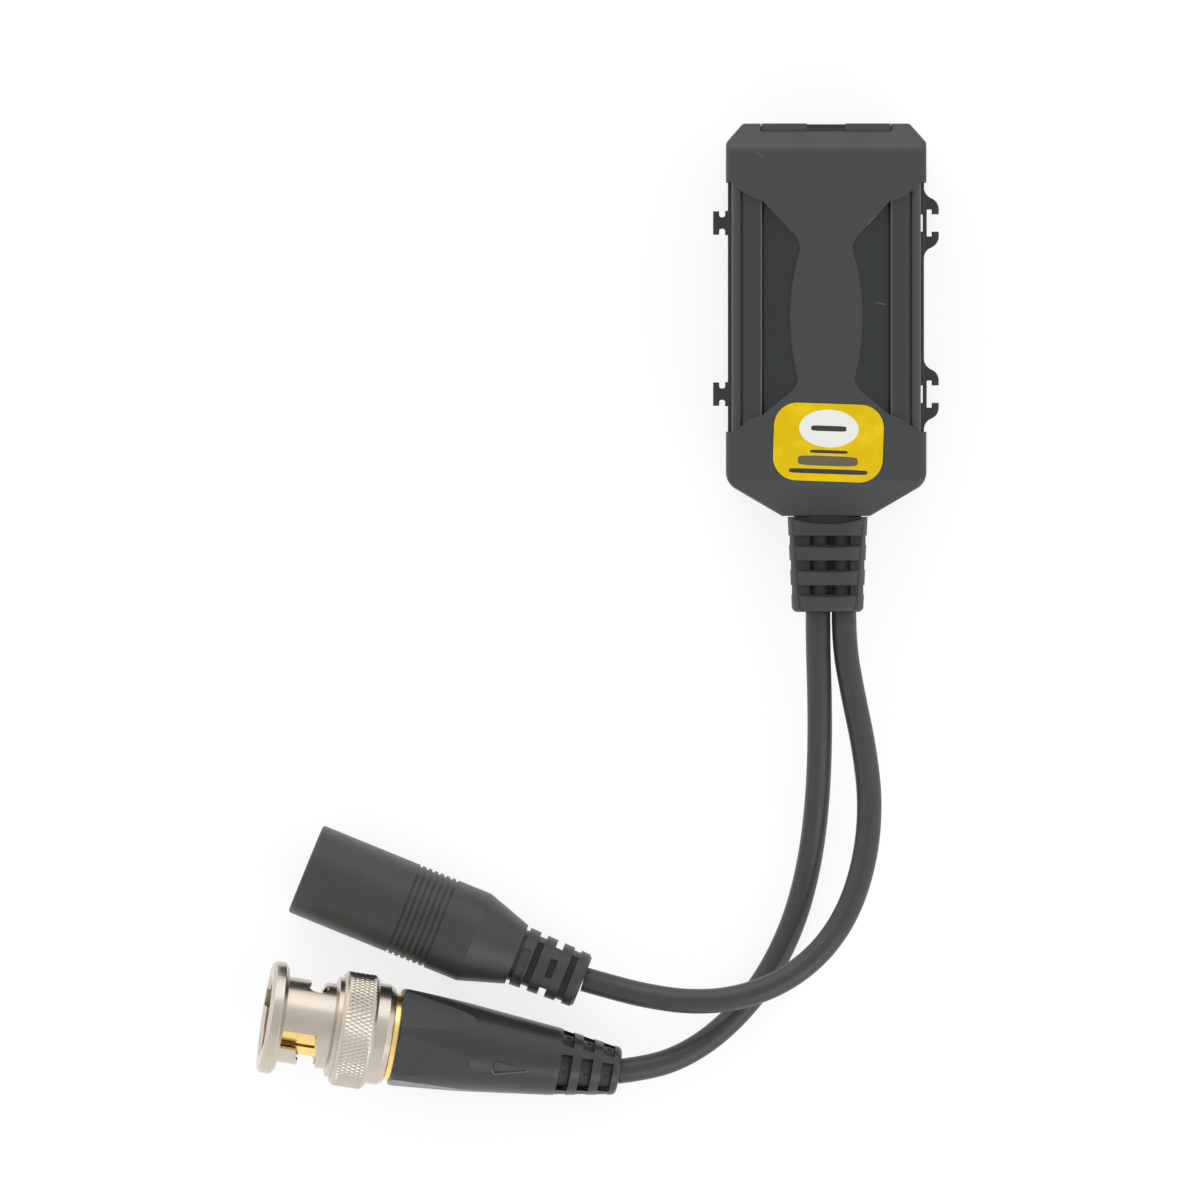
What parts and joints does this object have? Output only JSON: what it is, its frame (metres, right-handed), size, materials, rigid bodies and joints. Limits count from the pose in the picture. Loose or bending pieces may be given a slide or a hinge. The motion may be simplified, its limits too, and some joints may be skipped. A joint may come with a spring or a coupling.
{
  "type": "video balun",
  "caption": "Two-shell case with a network socket in its end and two short cables, one with a bayonet video plug and one with a round power socket.",
  "frame": {"origin": "centre of the case's flat back, on which it lies", "axes": "+Y along the case towards the network socket, +Z out of the labelled face, +X to the right seen from above with the socket away from the viewer"},
  "size_m": [0.0853, 0.1214, 0.0191],
  "materials": {
    "case_plastic": "satin dark grey moulded plastic",
    "label": "printed yellow vinyl sticker",
    "board": "green coated laminate",
    "socket_plastic": "black moulded plastic",
    "gold": "gold-plated brass",
    "ferrite": "ferrite, dark grey",
    "copper": "enamelled copper wire",
    "ceramic": "glazed ceramic",
    "capacitor_can": "sleeved can",
    "soft_pvc": "soft dark grey jacket",
    "lead_plastic": "insulated lead",
    "boot_pvc": "soft dark grey boot",
    "nickel": "nickel plate",
    "insulator": "white plastic insulator",
    "silicone": "silicone ring",
    "spring_steel": "spring steel"
  },
  "bodies": {
    "case": {"front_cover": "case_plastic", "rear_cover": "case_plastic", "label": "label", "circuit_board": "board", "socket_housing": "socket_plastic", "contact_carrier": "socket_plastic", "contact_wires": "gold", "transformer_core": "ferrite", "transformer_winding": "copper", "choke": "ferrite", "surge_arresters": "ceramic", "capacitor": "capacitor_can", "strain_relief": "soft_pvc", "video_cable": "soft_pvc", "power_cable": "soft_pvc", "video_leads": "lead_plastic", "power_leads": "lead_plastic", "plug_boot": "boot_pvc", "crimp_ferrule": "nickel", "plug_body": "gold", "plug_insulator": "insulator", "outer_contact": "gold", "centre_contact": "gold", "plug_gasket": "silicone", "retaining_ring": "spring_steel", "wave_spring": "spring_steel", "power_housing": "soft_pvc", "power_insert": "socket_plastic", "power_spring_contact": "nickel", "power_centre_pin": "nickel"},
    "slip_ring": {"slip_washer": "spring_steel"},
    "nut": {"bayonet_nut": "nickel"}
  },
  "joints": [
    {"name": "nut_slide", "type": "slide", "parent": "case", "child": "slip_ring", "axis": [-0.985, 0.1543, 0.0767], "range_m": [0, 0.0005], "stiffness_N_per_m": 4000, "deforming": ["wave_spring"]},
    {"name": "nut_spin", "type": "hinge", "parent": "slip_ring", "child": "nut", "pos_m": [-0.02595, -0.09395, 0.0048], "axis": [-0.985, 0.1543, 0.0767], "continuous": true}
  ]
}
